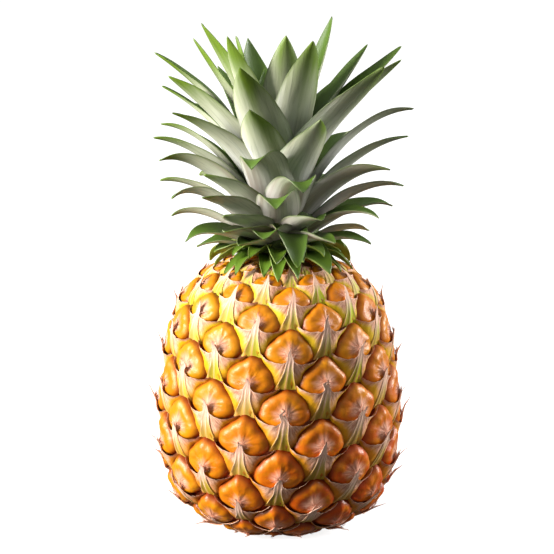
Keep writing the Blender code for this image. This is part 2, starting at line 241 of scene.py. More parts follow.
def waves(count, along, cycles):
    """For each of count shapes, a sum of sines with random sizes and phases over a run from 0 to 1, divided
    by the root of how many there are. Each has the given number of cycles in the run."""
    at = np.asarray(along) * 2 * math.pi
    total = np.zeros((count, *at.shape))
    for cycle in cycles:
        size, phase = draw.uniform(0.4, 1.0, count), draw.uniform(0, 2 * math.pi, count)
        shape = (count,) + (1,) * at.ndim
        total += size.reshape(shape) * np.sin(cycle * at + phase.reshape(shape))
    return total / math.sqrt(len(cycles))


def swellings(count, along, number, width):
    """For each of count shapes, a ring of rounded lumps: number of them at uneven places round a turn, each
    a bell of the distance from its place times a random size."""
    places = (np.arange(number) + draw.uniform(-0.3, 0.3, (count, number))) / number
    sizes = draw.uniform(0.3, 1.0, (count, number))
    apart = np.abs(np.asarray(along)[None, None, :] - places[:, :, None])
    apart = np.minimum(apart, 1 - apart)
    return (sizes[:, :, None] * bell(apart, 0, width)).sum(axis=1)


class Rind:
    """The turned surface under the eyes. A place on it is a turn about the axis, in radians from the front,
    and a level: the way up the outline, each short step of it divided by the radius there."""

    def __init__(self):
        self.line = smooth_through(RIND_OUTLINE, 24)
        step = np.diff(self.line, axis=0)
        radius = (self.line[1:, 0] + self.line[:-1, 0]) / 2
        self.level = np.concatenate([[0.0], np.cumsum(np.hypot(step[:, 0], step[:, 1]) / radius)])
        along = np.gradient(self.line, axis=0)
        along /= np.hypot(along[:, 0], along[:, 1])[:, None]
        self.out = np.column_stack([along[:, 1], -along[:, 0]])

    def place(self, turn, level, lift):
        """Points in millimetres, off the outline by the lift times radius / girth. None is lower than the
        surface that the fruit stands on. The level is less by FRONT_DIP times the cosine of the turn, so the
        rows run lower at the front than at the back."""
        level = np.clip(level - FRONT_DIP * np.cos(turn), self.level[0], self.level[-1])
        radius, height, out_r, out_z = (
            np.interp(level, self.level, row) for row in (*self.line.T, *self.out.T)
        )
        lift = lift * radius / GIRTH
        radius = radius + out_r * lift
        height = np.maximum(height + out_z * lift, 0.0)
        return np.stack([radius * np.sin(turn), -radius * np.cos(turn), height], axis=-1)

    def near(self, number, u, v, lift):
        """Points beside eye number, u millimetres to its right and v above its middle."""
        shape = (-1,) + (1,) * (np.ndim(u) - 1)
        turn = np.radians(FIRST_TURN + number * EYE_TURN).reshape(shape)
        level = (FIRST_LEVEL - number * EYE_DROP).reshape(shape)
        return self.place(turn + u / GIRTH, level + v / GIRTH, lift)


RIND = Rind()


def piece(name, rings, ends, values, material, node):
    """A mesh of closed tubes. rings holds tubes x rows x columns x 3 points in millimetres, and ends the two
    points that close each tube. Each of values is a number or a vector for every ring point, and the mesh
    keeps it as an attribute. The faces are turned over if the volume inside them comes out negative."""
    tubes, rows, columns = rings.shape[:3]
    one = rows * columns + 2
    points = np.concatenate([rings.reshape(tubes, -1, 3), ends], axis=1).reshape(-1, 3)
    row, column = np.meshgrid(np.arange(rows - 1), np.arange(columns), indexing="ij")
    after = (column + 1) % columns
    quads = np.stack([row * columns + column, row * columns + after,
                      (row + 1) * columns + after, (row + 1) * columns + column], -1).reshape(-1, 4)
    column = np.arange(columns)
    after, last = (column + 1) % columns, (rows - 1) * columns
    start = np.stack([np.full(columns, one - 2), after, column], -1)
    finish = np.stack([np.full(columns, one - 1), last + column, last + after], -1)
    shift = (np.arange(tubes) * one)[:, None, None]
    quads = (quads + shift).reshape(-1, 4)
    fans = (np.concatenate([start, finish]) + shift).reshape(-1, 3)
    halves = np.concatenate([quads[:, [0, 1, 2]], quads[:, [0, 2, 3]], fans])
    corners = points[halves]
    volume = np.einsum("ij,ij->i", corners[:, 0], np.cross(corners[:, 1], corners[:, 2])).sum()
    if volume < 0:
        quads, fans = quads[:, ::-1], fans[:, ::-1]
    mesh = bpy.data.meshes.new(name)
    mesh.from_pydata((points * MM).tolist(), [], quads.tolist() + fans.tolist())
    for key, value in values.items():
        vector = value.ndim == 4
        value = value.reshape(tubes, rows, columns, -1)
        caps = np.stack([value[:, 0].mean(axis=1), value[:, -1].mean(axis=1)], axis=1)
        value = np.concatenate([value.reshape(tubes, rows * columns, -1), caps], axis=1)
        layer = mesh.attributes.new(key, "FLOAT_VECTOR" if vector else "FLOAT", "POINT")
        layer.data.foreach_set("vector" if vector else "value", value.astype(np.float32).ravel())
    mesh.shade_smooth()
    mesh.set_sharp_from_angle(angle=math.radians(SHARP_FOLD))
    mesh.materials.append(material)
    obj = bpy.data.objects.new(name, mesh)
    bpy.context.scene.collection.objects.link(obj)
    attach(obj, "root")
    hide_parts(node)


def ground(material):
    """The skin in the grooves: the outline turned about the axis, 0.3 mm in and out of it in waves."""
    level = np.linspace(-FRONT_DIP, RIND.level[-1] + FRONT_DIP, 110)
    turn = np.linspace(0, 2 * math.pi, 200, endpoint=False)
    turn, level = np.meshgrid(turn, level)
    rings = RIND.place(turn, level, 0.3 * np.sin(9 * turn + 40 * level))[None]
    ends = np.array([[[0, 0, RIND_OUTLINE[0][1]], [0, 0, RIND_OUTLINE[-1][1]]]])
    piece("rind_grooves", rings, ends, {}, material, "fruit")


def eyes(name, first, last, material):
    """Each eye as a cushion over its outline: the way r from the spine's foot to the edge is 0 to 1, and the
    height is the side (1 - r^5)^0.5 times a top that falls away like a roof on both sides of the middle, with
    a ring of lumps, a slight dip inside it, a ridge and fine creases that run in to the foot."""
    number = np.arange(first, last + 1)
    count = len(number)
    edge = evenly(smooth_through(EYE_OUTLINE, 12, closed=True), EYE_SPOKES, closed=True)
    around = np.arange(EYE_SPOKES) / EYE_SPOKES
    r = 1 - (1 - np.linspace(0.07, 1, EYE_RINGS))**1.5
    r = r[None, :, None]
    scale = 1 + 0.04 * waves(count, around, (2, 3, 4))[:, None, :] * r
    lumps = swellings(count, around, EYE_LUMPS, LUMP_WIDTH)[:, None, :]
    scale = scale + 0.07 * (lumps - 0.4) * r**3
    u = EYE_FOOT[0] + r * scale * (edge[:, 0] - EYE_FOOT[0])
    v = EYE_FOOT[1] + r * scale * (edge[:, 1] - EYE_FOOT[1])
    creases = waves(count, around, (8, 11, 15))[:, None, :]
    upper = np.clip((v + 9) / 6, 0, 1)
    shaded_pocket = bell(u, *POCKET_ACROSS) * bell(v, *POCKET_UP) * draw.uniform(0.1, 1.0, count)[:, None, None]
    ridge = bell(u, EYE_FOOT[0], RIDGE_WIDTH) * np.clip((5 - v) / 6, 0, 1)
    top = EYE_TOP + draw.uniform(-EYE_VARIES, EYE_VARIES, count)[:, None, None]
    top = top - EYE_FALL * np.sqrt((u - EYE_FOOT[0])**2 + 1)
    top = top + bell(r, *LUMP_RING) * (RING_HEIGHT * upper + LUMP_HEIGHT * lumps * (0.4 + 0.6 * upper))
    top = top - DIP_DEPTH * bell(r, *DIP_RING) + CREASE_HEIGHT * creases * bell(r, *CREASE_RING)
    top = top - POCKET_DEPTH * shaded_pocket + RIDGE_HEIGHT * ridge
    lift = (top + EYE_SINK) * np.sqrt(1 - r**5) - EYE_SINK
    rings = RIND.near(number, u, v, lift)
    bottom = RIND.near(number, *(np.full(count, value) for value in (*EYE_FOOT, EYE_BOTTOM)))
    ends = np.stack([rings[:, 0].mean(axis=1), bottom], axis=1)
    angle = 2 * math.pi * around[None, None, :] + 0 * r
    tone = draw.uniform(0, 1, count)[:, None, None] + 0 * u
    # The wrinkles run in to the foot, and each eye has its own.
    fibre = WRINKLE_RING * np.stack(
        np.broadcast_arrays(np.cos(angle), np.sin(angle), 0.5 * r + 9 * tone), axis=-1)
    values = {"way_out": r + 0 * u, "swell": lumps + 0 * u, "shaded_pocket": shaded_pocket, "tone": tone, "fibre": fibre}
    piece(name, rings, ends, values, material, "fruit")


def bracts(material):
    """The wings of each bract: straight lines from the base curve to the rim curve. On the way t along them
    they rise as t^0.7 and flare as t^9, and the skin thins to 0.12 mm at the rim."""
    number = np.arange(FIRST_BRACT, LAST_BRACT + 1)
    count = len(number)
    rim = evenly(smooth_through(BRACT_RIM, 8), BRACT_COLUMNS)
    base = smooth_through(BRACT_BASE, 8)
    across = np.linspace(0, 1, BRACT_COLUMNS)
    base = np.column_stack([np.interp(across, np.linspace(0, 1, len(base)), column) for column in base.T])
    t = np.linspace(0, 1, BRACT_ROWS)
    t = np.concatenate([t, t[::-1]])[None, None, :]
    back = (np.arange(2 * BRACT_ROWS) >= BRACT_ROWS)[None, None, :]
    rim, base = rim[None, :, None, :], base[None, :, None, :]
    narrow = np.sin(math.pi * across)[None, :, None]**0.5
    ragged = 0.35 * waves(count, across, (3, 5, 8, 13))[:, :, None] * narrow * t
    size = 1 + draw.uniform(-0.05, 0.05, count)[:, None, None]
    u = (base[..., 0] * (1 - t) + rim[..., 0] * t) * size
    v = base[..., 1] * (1 - t) + rim[..., 1] * t + ragged
    pleats = 0.16 * waves(count, across, (6, 9, 14))[:, :, None] * np.sin(math.pi * t)
    height = rim[..., 2] * t**0.7 + 0.45 * t**9 + base[..., 2] + pleats
    lift = height - np.where(back, 0.12 + 0.5 * (1 - t), 0.0)
    rings = RIND.near(number, u, v, lift)
    ends = np.stack([rings[:, 0].mean(axis=1), rings[:, -1].mean(axis=1)], axis=1)
    angle = np.arctan2(u - EYE_FOOT[0], EYE_FOOT[1] - v + 0.5)
    far = np.abs(u - EYE_FOOT[0]) + 0 * v
    tone = draw.uniform(0, 1, count)[:, None, None] + 0 * u
    # The fibres fan out from the spine's foot, and each bract has its own.
    fibre = np.stack([FAN_REACH * angle, 0.18 * np.hypot(u, v - EYE_FOOT[1]), 32.4 * tone], axis=-1)
    values = {"to_rim": t + 0 * u, "far": far, "fibre": fibre}
    piece("bract_wings", rings, ends, values, material, "fruit")


def spines(material):
    """The keel and spine of each bract: a strip along its middle whose half width and height follow SPINE. It
    is folded as SPINE_FOLD says, with a ridge near each edge, one near the middle and a valley on both sides
    of that. The tip is bent to one side and stands out by random amounts times the square of its free
    length."""
    number = np.arange(FIRST_BRACT, LAST_BRACT + 1)
    count = len(number)
    line = smooth_through(SPINE, 8)
    along = np.linspace(0, 1, SPINE_ROWS)
    line = np.column_stack([np.interp(along, np.linspace(0, 1, len(line)), column) for column in line.T])
    height, half, out = (column[None, :, None] for column in line.T)
    across = np.array(SPINE_ACROSS)
    fold = np.array(SPINE_FOLD)
    x = np.concatenate([across, across[::-1]])[None, None, :]
    z = np.concatenate([fold, fold[::-1]])[None, None, :]
    back = (np.arange(2 * len(across)) >= len(across))[None, None, :]
    t = along[None, :, None]
    free = np.clip((t - 0.55) / 0.45, 0, 1)**2
    reach = draw.uniform(*TIP_REACH, count)[:, None, None]
    bend = draw.normal(0, TIP_BEND, count)[:, None, None]
    stand = draw.uniform(*TIP_STANDS, count)[:, None, None]
    v = height + reach * free + 0 * x
    shoulder = np.clip((SHOULDER_ROW - number) / 20, 0, 1)[:, None, None]
    v = v + 4 * shoulder * free
    half = half * (1 + 0.25 * shoulder)
    u = KEEL_LEAN * (v + 4) * (1 - free) + bend * (free + 0.5 * np.sin(2 * math.pi * free)) + half * x + 0.3
    u = u + 0.25 * waves(count, along, (1, 2, 3))[:, :, None] * np.sign(x) * (1 - t)
    lift = out + stand * free + 0.8 * z * np.minimum(half / 4, 1)**1.5
    lift = lift - np.where(back, 0.5 * (1 - 0.7 * t), 0)
    rings = RIND.near(number, u, v, lift)
    ends = np.stack([rings[:, 0].mean(axis=1), rings[:, -1].mean(axis=1)], axis=1)
    tone = draw.uniform(0, 1, count)[:, None, None] + 0 * u
    # The fibres run along the keel, which is about 6 mm wide, and each bract has its own.
    fibre = np.stack([3.2 * x + 0 * u, 1.2 * t + 0 * u, 18 * tone], axis=-1)
    values = {"to_tip": t + 0 * u, "fold": z + 0 * u, "side": x + 0 * u, "tone": tone, "fibre": fibre}
    piece("bract_spines", rings, ends, values, material, "fruit")


def strands(material):
    """Loose fibres round the foot of each spine: thin three-sided tubes, each along the arc of a parabola
    from the rim of the bract onto the eye, tapering as 1.02 - t."""
    number = np.repeat(np.arange(FIRST_BRACT, LAST_BRACT + 1), STRANDS)
    count = len(number)
    spread = draw.uniform(-1, 1, count)[:, None, None]
    long = draw.uniform(*STRAND_LENGTH, count)[:, None, None]
    t = np.linspace(0, 1, 6)[None, :, None]
    corner = np.arange(3) * 2 * math.pi / 3
    thick = draw.uniform(*STRAND_RADIUS, count)[:, None, None] * (1.02 - t)
    lean = 1.15 * spread
    u = 0.3 + 0.9 * spread + long * np.sin(lean) * t + thick * np.cos(corner)
    v = -7.6 + 0.8 * np.abs(spread) + long * np.cos(lean) * t + 0.5 * thick * np.cos(corner) * np.sin(lean)
    rise = draw.uniform(*STRAND_RISE, count)[:, None, None]
    lift = 5.2 + rise * t * (1.2 - t) - 0.9 * np.abs(spread) * t
    rings = RIND.near(number, u, v, lift + thick * np.sin(corner))
    ends = np.stack([rings[:, 0].mean(axis=1), rings[:, -1].mean(axis=1)], axis=1)
    piece("bract_strands", rings, ends, {}, material, "fruit")


def leaf_rings(turn, reach, tip, width, launch, arrival, hold=LAUNCH_HOLD, taper=LEAF_TAPER, lean=0):
    """One gutter-shaped leaf. Its middle line is the cubic curve that leaves the stem and meets the tip at
    the two slopes, and its half width the root flare times 1 - t^taper. Across it x goes from -1 to 1 on an
    arc: half sin(arc x) / sin(arc) to the side and half (1 - cos(arc x)) / sin(arc) up. It turns about its
    middle line by the lean times t^0.5. Gives the rings, the two ends, the masks and the fibres' places."""
    share = np.clip((tip - LOWEST_TIP) / (HIGHEST_TIP - LOWEST_TIP), 0, 1)
    root = LOWEST_ROOT + (HIGHEST_ROOT - LOWEST_ROOT) * share
    radii, heights = np.array(STEM_OUTLINE).T
    start = np.array([ROOT_SHARE * np.interp(root, heights, radii), root])
    end = np.array([reach, tip], float)
    span = math.dist(start, end)
    launch, arrival = math.radians(launch), math.radians(arrival)
    after_start = start + hold * span * np.array([math.cos(launch), math.sin(launch)])
    before_end = end - ARRIVAL_HOLD * span * np.array([math.cos(arrival), math.sin(arrival)])
    t = (1 - (1 - np.linspace(0, 1, LEAF_ROWS + 1))**1.15)[:, None]
    line = (1 - t)**3 * start + 3 * (1 - t)**2 * t * after_start
    line = line + 3 * (1 - t) * t**2 * before_end + t**3 * end
    slope = np.gradient(line, axis=0)
    slope /= np.hypot(slope[:, 0], slope[:, 1])[:, None]
    inward = np.column_stack([-slope[:, 1], slope[:, 0]])[:-1, None, :]
    t = t[:-1]
    flare = 1 - (1 - np.clip((ROOT_WIDTH + ROOT_FLARE * t), 0, 1))**1.6
    half = 0.5 * width * flare * (1 - t**taper)
    arc = math.radians(LEAF_ARC) * (1 - 0.45 * t)
    face = np.linspace(-1, 1, LEAF_ACROSS)
    x = np.concatenate([face, face[::-1]])[None, :]
    rise = half * (1 - np.cos(arc * x)) / np.sin(arc)
    back = np.repeat([-1.0, 1.0], LEAF_ACROSS)[None, :]
    thick = LEAF_EDGE / 2 + (LEAF_MIDRIB * (1 - 0.5 * t) - LEAF_EDGE) / 2 * (1 - x**2)
    phase = draw.uniform(0, 2 * math.pi, 2)
    wave = 0.35 * np.sin(7 * t + phase[0]) * x * np.abs(x) + 0.2 * np.sin(17 * t + phase[1]) * x**2
    cup = rise + wave + back * thick * np.cos(arc * x)
    lean = lean - FORWARD_LEAN * math.sin(math.radians(turn))
    roll = draw.uniform(-0.1, 0.1) * t * 2 + math.radians(lean) * np.sqrt(t)
    chord = half * np.sin(arc * x) / np.sin(arc) - back * thick * np.sin(arc * x)
    out = line[:-1, None, :] + inward * (cup + chord * np.sin(roll))[:, :, None]
    side = chord * np.cos(roll)
    turn = math.radians(turn)
    radial = np.array([math.sin(turn), -math.cos(turn)])
    sideways = np.array([math.cos(turn), math.sin(turn)])
    flat = out[:, :, :1] * radial + side[:, :, None] * sideways
    rings = np.concatenate([flat, out[:, :, 1:]], axis=2)
    ends = np.array([rings[0].mean(axis=0), [*(end[0] * radial), end[1]]])
    blank = 0 * rings[:, :, 0]
    tone = draw.uniform(0, 1)
    # The veins run the length of the leaf, and each leaf has its own.
    fibre = np.stack([half * x, 0.044 * span * t + blank, blank + 90 * tone], axis=-1)
    masks = [t + blank, x + blank, 0.5 - 0.5 * back + blank, blank + share]
    return rings, ends, masks, fibre


def leaves(name, rows, material):
    """One piece of the crown from rows of leaves."""
    made = [leaf_rings(*row) for row in rows]
    rings, ends, masks, fibre = (np.array([leaf[k] for leaf in made]) for k in range(4))
    keys = ("to_tip", "across", "outer", "high")
    values = {key: masks[:, k] for k, key in enumerate(keys)}
    piece(name, rings, ends, {**values, "fibre": fibre}, material, "crown")


def crown_rows():
    """All leaves of the crown as rows, in four sets: the front's as listed, the back's evenly spaced in each
    whorl, the heart's on a spiral, and the collar's round the whole stem."""
    back, collar = [], []
    for place, (count, reach, tip, width, launch, arrival) in enumerate(BACK_WHORLS):
        for k in range(count):
            share = (k + 0.5 + 0.25 * (-1)**place) / count
            turn = BACK_FROM + (BACK_TO - BACK_FROM) * share
            back.append((turn, reach + draw.uniform(-3, 3), tip + draw.uniform(-5, 5),
                         width, launch, arrival))
    heart = [(HEART_TURN * k, 5 + 2 * k, 230 - 4 * k, 14, 88, 82) for k in range(HEART_LEAVES)]
    for count, reach, tip, width, launch, arrival in COLLAR:
        for k in range(count):
            turn = 360 * (k + draw.uniform(-0.35, 0.35)) / count
            more = draw.uniform(-1, 1, 5)
            collar.append((turn, reach + 3 * more[0], tip + 2 * more[1], width + 4 * more[2],
                           launch + 10 * more[3], arrival + 12 * more[4], LAUNCH_HOLD,
                           2.0 + 0.6 * more[0], 30 * more[1]))
    return FRONT_LEAVES, back, heart, collar


def turned(name, outline, foot, top, columns, material, node):
    """A solid turned from its outline about the axis."""
    radii, heights = np.array(outline, float).T
    turn = np.linspace(0, 2 * math.pi, columns, endpoint=False)[None, :]
    rings = np.stack(np.broadcast_arrays(
        radii[:, None] * np.sin(turn), -radii[:, None] * np.cos(turn), heights[:, None]), axis=-1)[None]
    piece(name, rings, np.array([[[0, 0, foot], [0, 0, top]]], float), {}, material, node)


# A share that eases in and out, and the sockets of the node that mixes two colours.
EASED = {"interpolation_type": "SMOOTHSTEP"}
COLOURS = {"data_type": "RGBA"}
UNDER = 6
OVER = 7
BLENDED = 2


def add(tree, kind, output, inputs, **settings):
    """Adds one node to a material, with its settings, and gives one of its outputs. Each input is a link, a
    number or the hex code of a colour."""
    node = tree.nodes.new("ShaderNode" + kind)
    for key, value in settings.items():
        setattr(node, key, value)
    for key, value in inputs.items():
        if isinstance(value, bpy.types.NodeSocket):
            tree.links.new(value, node.inputs[key])
        else:
            node.inputs[key].default_value = linear(value) if isinstance(value, str) else value
    return node.outputs[output]


def painted(tree, colour, *layers):
    """Paints laid over a colour. The share of each eases from nothing, where its value is low, to its most,
    where the value is high."""
    for value, low, high, most, paint in layers:
        share = add(tree, "MapRange", "Result",
                    {"Value": value, "From Min": low, "From Max": high, "To Max": most}, **EASED)
        colour = add(tree, "Mix", BLENDED, {"Factor": share, UNDER: colour, OVER: paint}, **COLOURS)
    return colour


def new_material(name, roughness, specular):
    """A material, its nodes and its surface, with how rough that is and how much it reflects straight on."""
    material = bpy.data.materials.new(name)
    material.use_nodes = True
    shader = material.node_tree.nodes["Principled BSDF"]
    shader.inputs["Roughness"].default_value = roughness
    shader.inputs["Specular IOR Level"].default_value = specular
    return material, material.node_tree, shader


def waxy_rind():
    """Ripe rind, grown with its own wax: golden orange that glints on the lumps, yellower towards the crown,
    and yellower on the left, partly its own ripeness and partly painted light; chestnut at the foot of each
    eye, partly its own colour and partly painted shade where it sinks into the groove; and rosy, dry and
    wrinkled round the spine, with painted shadow in the hollow beside it."""
    material, tree, shader = new_material("waxy ripe rind", 0.36, 0.32)
    place = add(tree, "TexCoord", "Object", {})
    right, height = (add(tree, "SeparateXYZ", axis, {0: place}) for axis in "XZ")
    way_out, tone, swell, shaded_pocket = (add(tree, "Attribute", "Fac", {}, attribute_name=key)
                                    for key in ("way_out", "tone", "swell", "shaded_pocket"))
    fibre = add(tree, "Attribute", "Vector", {}, attribute_name="fibre")
    streak = add(tree, "TexNoise", "Fac",
                 {"Vector": fibre, "Scale": 1 / WRINKLE, "Detail": 4.0, "Roughness": 0.6})
    blotch = add(tree, "TexNoise", "Fac",
                 {"Vector": place, "Scale": 1 / (BLOTCH * MM), "Detail": 3.0, "Roughness": 0.55})
    pores = add(tree, "TexNoise", "Fac",
                {"Vector": place, "Scale": 1 / (PORE * MM), "Detail": 3.0, "Roughness": 0.55})
    # Yellower towards the crown, and yellower on the left: partly the fruit's own ripeness, partly painted
    # light from the lamp on that side.
    ripe = painted(tree, "#C04202",
                   (height, 15 * MM, 125 * MM, 1.0, "#C87A04"),
                   (right, 30 * MM, -60 * MM, 0.75, "#B8840A"),
                   (blotch, 0.35, 0.7, 0.45, "#DC9A08"))
    # Some eyes are riper than others all over.
    flush = add(tree, "Math", "Value", {0: tone, 1: 0.35}, operation="MULTIPLY")
    ripe = add(tree, "Mix", BLENDED, {"Factor": flush, UNDER: ripe, OVER: "#C85A02"}, **COLOURS)
    # Chestnut towards the edge of each eye, where it sinks into the groove: partly the rind's own colour,
    # partly painted shade.
    ripe = painted(tree, ripe, (way_out, 0.76, 1.0, 1.0, "#7A2602"))
    dry = painted(tree, "#BA7256", (streak, 0.3, 0.7, 1.0, "#ECBCA2"))
    # The dry middle ends unevenly, further out on some eyes than on others.
    edge = way_out
    for value, share in ((streak, 0.35), (swell, 0.14), (tone, 0.25)):
        edge = add(tree, "Math", "Value", {0: value, 1: share, 2: edge}, operation="MULTIPLY_ADD")
    rosy = add(tree, "MapRange", "Result",
               {"Value": edge, "From Min": 0.87, "From Max": 0.52, "To Max": 0.85}, **EASED)
    colour = add(tree, "Mix", BLENDED, {"Factor": rosy, UNDER: ripe, OVER: dry}, **COLOURS)
    # Painted shadow in the hollow beside the spine, under the bract's rim.
    colour = painted(tree, colour, (shaded_pocket, 0.0, 1.0, 0.3, "#7A3412"))
    rough = add(tree, "MapRange", "Result", {"Value": rosy, "To Min": 0.38, "To Max": 0.6})
    wrinkles = add(tree, "MapRange", "Result",
                   {"Value": way_out, "From Min": 0.85, "From Max": 0.35, "To Max": streak}, **EASED)
    relief = add(tree, "Bump", "Normal", {"Height": wrinkles, "Strength": 0.4, "Distance": 1.0 * MM})
    relief = add(tree, "Bump", "Normal",
                 {"Height": pores, "Strength": 0.25, "Distance": 0.8 * MM, "Normal": relief})
    tree.links.new(colour, shader.inputs["Base Color"])
    tree.links.new(rough, shader.inputs["Roughness"])
    tree.links.new(relief, shader.inputs["Normal"])
    return material


def groove_skin_and_shade():
    """The skin down in the grooves, which stays soft and smooth: a deep burnt orange that goes to olive near
    the crown, with darker mottling. Its darkness is partly the skin's own colour and partly painted shade, so
    that the gaps between the eyes read as depth."""
    material, tree, shader = new_material("groove skin and painted shade", 0.5, 0.5)
    place = add(tree, "TexCoord", "Object", {})
    height = add(tree, "SeparateXYZ", "Z", {0: place})
    mottle, grain = (add(tree, "TexNoise", "Fac", {"Vector": place, "Scale": 1 / (size * MM), "Detail": 3.0,
                                                   "Roughness": 0.55}) for size in (MOTTLE, GROOVE_GRAIN))
    colour = painted(tree, "#8A3206",
                     (height, 30 * MM, 125 * MM, 1.0, "#8A5A10"),
                     (mottle, 0.4, 0.65, 1.0, "#5E2204"))
    relief = add(tree, "Bump", "Normal", {"Height": grain, "Strength": 0.3, "Distance": 0.8 * MM})
    tree.links.new(colour, shader.inputs["Base Color"])
    tree.links.new(relief, shader.inputs["Normal"])
    return material


def dry_bract():
    """The bract's wings, leaf tissue that has dried to a thin skin: rosy tan and matt along the rim with fine
    fibres that fan out from the spine, still yellow and moist towards the base, and brown where it meets the
    rind, which is painted shade. A pale line along the very rim is a painted highlight."""
    material, tree, shader = new_material("dry bract skin", 0.6, 0.25)
    place = add(tree, "TexCoord", "Object", {})
    height = add(tree, "SeparateXYZ", "Z", {0: place})
    to_rim, far = (add(tree, "Attribute", "Fac", {}, attribute_name=key) for key in ("to_rim", "far"))
    fibre = add(tree, "Attribute", "Vector", {}, attribute_name="fibre")
    streak = add(tree, "TexNoise", "Fac",
                 {"Vector": fibre, "Scale": 1 / BRACT_FIBRE, "Detail": 5.0, "Roughness": 0.7})
    cloud = add(tree, "TexNoise", "Fac",
                {"Vector": place, "Scale": 1 / (DRY_PATCH * MM), "Detail": 2.0, "Roughness": 0.55})
    dry = painted(tree, "#B4725A", (streak, 0.3, 0.66, 1.0, "#EBBA98"))
    fresh = painted(tree, "#CC7C10",
                    (height, 20 * MM, 110 * MM, 1.0, "#DCA60C"),
                    (height, 85 * MM, 115 * MM, 0.4, "#C4C218"))
    # It is drier beside the spine and under the crown, and the dry part ends raggedly.
    beside = add(tree, "MapRange", "Result",
                 {"Value": far, "From Min": 9.0, "From Max": 3.0, "To Max": 0.35}, **EASED)
    shoulder = add(tree, "MapRange", "Result",
                   {"Value": height, "From Min": 114 * MM, "From Max": 126 * MM, "To Max": 0.2}, **EASED)
    edge = to_rim
    for value, share in ((cloud, 0.8), (streak, 0.3), (beside, 1.0), (shoulder, 1.0)):
        edge = add(tree, "Math", "Value", {0: value, 1: share, 2: edge}, operation="MULTIPLY_ADD")
    # Towards the base, where the wing meets the rind, brown is painted in as shade.
    colour = painted(tree, fresh,
                     (edge, 1.0, 1.55, 1.0, dry),
                     (to_rim, 0.36, 0.0, 0.75, "#7E3A06"),
                     # The pale line along the very rim is a painted highlight.
                     (to_rim, 0.93, 0.99, 1.0, "#F2CCB0"))
    relief = add(tree, "Bump", "Normal", {"Height": streak, "Strength": 0.4, "Distance": 0.8 * MM})
    tree.links.new(colour, shader.inputs["Base Color"])
    tree.links.new(relief, shader.inputs["Normal"])
    return material


def dry_spine():
    """The bract's keel and spine, stiff dried fibres drawn up to a brown point: rosy ridges with lime green
    folds between them near the base, where the tissue is still alive."""
    material, tree, shader = new_material("dry bract spine", 0.55, 0.25)
    place = add(tree, "TexCoord", "Object", {})
    height = add(tree, "SeparateXYZ", "Z", {0: place})
    to_tip, fold, tone, side = (add(tree, "Attribute", "Fac", {}, attribute_name=key)
                                for key in ("to_tip", "fold", "tone", "side"))
    fibre = add(tree, "Attribute", "Vector", {}, attribute_name="fibre")
    streak = add(tree, "TexNoise", "Fac",
                 {"Vector": fibre, "Scale": 1 / SPINE_FIBRE, "Detail": 5.0, "Roughness": 0.7})
    dry = painted(tree, "#BC7E62",
                  (streak, 0.3, 0.6, 1.0, "#F2CCB4"),
                  (to_tip, 0.34, 0.1, 1.0, "#CE9E58"),
                  (to_tip, 0.86, 1.0, 1.0, "#9A4A2C"))
    # The folds on the left side are painted darker olive: painted shade.
    green = painted(tree, "#B89C1E",
                    (height, 55 * MM, 120 * MM, 1.0, "#BCC412"),
                    (side, 0.1, -0.3, 0.55, "#745A14"))
    # The green ends raggedly on the way up, and some bracts keep more of it than others.
    ragged = add(tree, "Math", "Value", {0: streak, 1: 0.5, 2: to_tip}, operation="MULTIPLY_ADD")
    kept = add(tree, "Math", "Value", {0: tone, 1: 0.5, 2: 0.45}, operation="MULTIPLY_ADD")
    alive = add(tree, "MapRange", "Result",
                {"Value": ragged, "From Min": 0.77, "From Max": 0.5, "To Max": kept}, **EASED)
    colour = painted(tree, dry, (fold, 0.45, 0.1, alive, green))
    relief = add(tree, "Bump", "Normal", {"Height": streak, "Strength": 0.3, "Distance": 0.6 * MM})
    tree.links.new(colour, shader.inputs["Base Color"])
    tree.links.new(relief, shader.inputs["Normal"])
    return material


